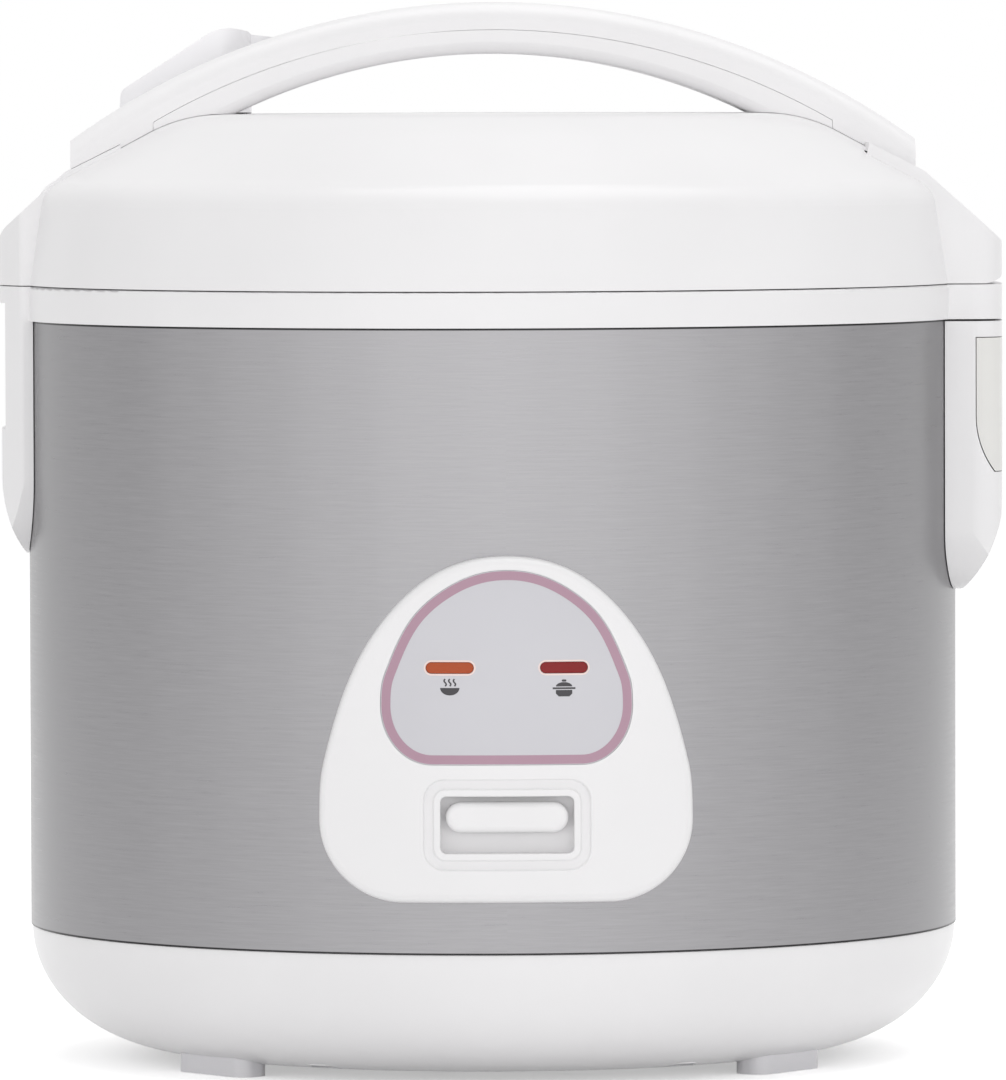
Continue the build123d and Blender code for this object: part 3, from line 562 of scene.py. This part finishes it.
def cook_sign(mesh, x, z):
    """Pot with its rim, lid and knob."""
    rim_half, rim_thick, rim_z = 3.2 * MM, 0.5 * MM, z - 0.2 * MM
    pot_half, pot_corner = 2.3 * MM, 0.8 * MM
    pot_top, pot_low = z - 0.7 * MM, z - 2.5 * MM
    lid_z, lid_tall = z + 0.3 * MM, 1.2 * MM
    knob_z, knob_width, knob_tall = z + 1.95 * MM, 1.3 * MM, 0.6 * MM
    print_patch(mesh, stroke([(x - rim_half, rim_z), (x + rim_half, rim_z)], rim_thick))
    left_side = [(-pot_half, pot_top), (-pot_half, pot_low + pot_corner), (-pot_half + pot_corner, pot_low)]
    right_side = [(-shift, height) for shift, height in reversed(left_side)]
    print_patch(mesh, [(x + shift, height) for shift, height in left_side + right_side])
    print_patch(mesh, half_round(x, lid_z, pot_half, lid_tall, start=0.0, steps=12))
    print_patch(mesh, stadium(x, knob_z, knob_width, knob_tall, steps=6))


def signs():
    """A sign under each lamp: bowl with steam for keeping warm, pot for cooking."""
    mesh = bmesh.new()
    for node, draw in (("keep_warm_lens", warm_sign), ("cook_lens", cook_sign)):
        x, z = window(node)[:2]
        draw(mesh, x, z - SIGN_DROP)
    printed("lamp_signs", mesh, ink("sign_ink", colour(44, 42, 46), colour(56, 54, 58)))


label_border()
window_rims()
signs()


# Springs, as smooth wire in the place of the coarse coils

def spring(node, axis, wire, turns):
    """Round wire wound between the ends of a coil's box, along one axis."""
    low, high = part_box(node)
    centre = (low + high) / 2
    side = (axis + 1) % 3
    other = (axis + 2) % 3
    radius = (high[side] - low[side]) / 2 - wire
    steps = TURN_STEPS * turns
    curve = bpy.data.curves.new(node + "_line", "CURVE")
    curve.dimensions = "3D"
    curve.bevel_depth = wire
    curve.bevel_resolution = WIRE_ROUNDNESS
    curve.use_fill_caps = True
    line = curve.splines.new("POLY")
    line.points.add(steps)
    for step, point in enumerate(line.points):
        turn = 2 * math.pi * turns * step / steps
        spot = centre.copy()
        spot[axis] = low[axis] + wire + (high[axis] - low[axis] - 2 * wire) * step / steps
        spot[side] += radius * math.cos(turn)
        spot[other] += radius * math.sin(turn)
        point.co = (*spot, 1.0)
    mesh = bpy.data.meshes.new_from_object(bpy.data.objects.new(node + "_line", curve))
    mesh.materials.append(MATERIALS["zinc_steel"])
    piece = bpy.data.objects.new(node + "_wire", mesh)
    bpy.context.scene.collection.objects.link(piece)
    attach(piece, "cooker")
    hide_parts(node)
    return piece


def pressed_spring(node, axis, wire, turns):
    """Spring wound along one axis between the ends of a coil's box, with a mesh of its own."""
    piece = spring(node, axis, wire, turns)
    along = Vector((0.0, 0.0, 0.0))
    along[axis] = 1.0
    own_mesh(piece)


spring("hinge_spring", Y, wire=0.5 * MM, turns=5)
pressed_spring("lever_spring", Z, wire=0.4 * MM, turns=3)
pressed_spring("sensor_spring", Z, wire=0.5 * MM, turns=5)
pressed_spring("latch_spring", X, wire=0.3 * MM, turns=2)


# Studio: white surroundings, pale floor, soft lamps

def seen_directly(tree):
    """1 for rays from the camera, off a glossy piece or through a see-through one."""
    path = add(tree, "LightPath").outputs
    bent = compute(tree, "MAXIMUM", path["Is Glossy Ray"], path["Is Transmission Ray"])
    return compute(tree, "MAXIMUM", path["Is Camera Ray"], bent)


def surroundings():
    """White where they are seen, and a plain ambient light elsewhere."""
    world = bpy.data.worlds.new("surroundings")
    bpy.context.scene.world = world
    world.use_nodes = True
    tree = world.node_tree
    level = add(tree, "MapRange", [("Value", seen_directly(tree)), ("To Min", AMBIENT), ("To Max", 1.0)])
    backdrop = tree.nodes["Background"]
    backdrop.inputs["Color"].default_value = WHITE
    tree.links.new(level.outputs["Result"], backdrop.inputs["Strength"])


def floor():
    """Pale floor just under the feet. Where it is seen, a light of its own lifts it to the backdrop."""
    bpy.ops.mesh.primitive_plane_add(size=FLOOR_SIZE, location=(0.0, 0.0, -FLOOR_DROP))
    plane = bpy.context.object
    plane.name = "floor"
    material, tree, shader = finish("floor", roughness=0.9, Specular_IOR_Level=0.0, Emission_Color=WHITE,
                                    Base_Color=(FLOOR_TINT, FLOOR_TINT, FLOOR_TINT, 1.0))
    link(tree, shader, Emission_Strength=compute(tree, "MULTIPLY", seen_directly(tree), FLOOR_LIFT))
    plane.data.materials.append(material)


def lamp(name, spot, aim, width, height, watts):
    """Soft lamp that faces a point."""
    light = bpy.data.lights.new(name, "AREA")
    light.shape = "RECTANGLE"
    light.size = width
    light.size_y = height
    light.energy = watts
    holder = bpy.data.objects.new(name, light)
    holder.location = spot
    holder.rotation_euler = (Vector(aim) - Vector(spot)).to_track_quat("-Z", "Y").to_euler()
    bpy.context.scene.collection.objects.link(holder)


def lamps():
    """One lamp above, and the arc of lamps round the front."""
    aim = (0.0, 0.0, (cad_box[0][Z] + cad_box[1][Z]) / 2)
    lamp("top_lamp", TOP_LAMP_SPOT, aim, TOP_LAMP_SIZE, TOP_LAMP_SIZE, TOP_LAMP_WATTS)
    for degrees in range(-LAMP_END, LAMP_END + 1, LAMP_STEP):
        turn = math.radians(degrees)
        spot = (LAMP_DISTANCE * math.sin(turn), -LAMP_DISTANCE * math.cos(turn), LAMP_HEIGHT)
        watts = LAMP_WATTS * math.exp(-(degrees / LAMP_FADE) ** 2)
        lamp(f"front_lamp_{degrees}", spot, aim, LAMP_WIDTH, LAMP_TALL, watts)


def camera():
    """Camera with the photograph's view."""
    view = bpy.data.cameras.new("camera")
    view.lens = CAMERA_LENS
    view.sensor_width = CAMERA_SENSOR
    holder = bpy.data.objects.new("camera", view)
    aside = CAMERA_DISTANCE * math.sin(CAMERA_SIDE)
    ahead = -CAMERA_DISTANCE * math.cos(CAMERA_SIDE)
    holder.location = (aside, ahead, CAMERA_HEIGHT)
    holder.rotation_euler = CAMERA_ANGLES
    bpy.context.scene.collection.objects.link(holder)
    bpy.context.scene.camera = holder


surroundings()
floor()
lamps()
camera()

bpy.context.scene.view_settings.view_transform = "Standard"
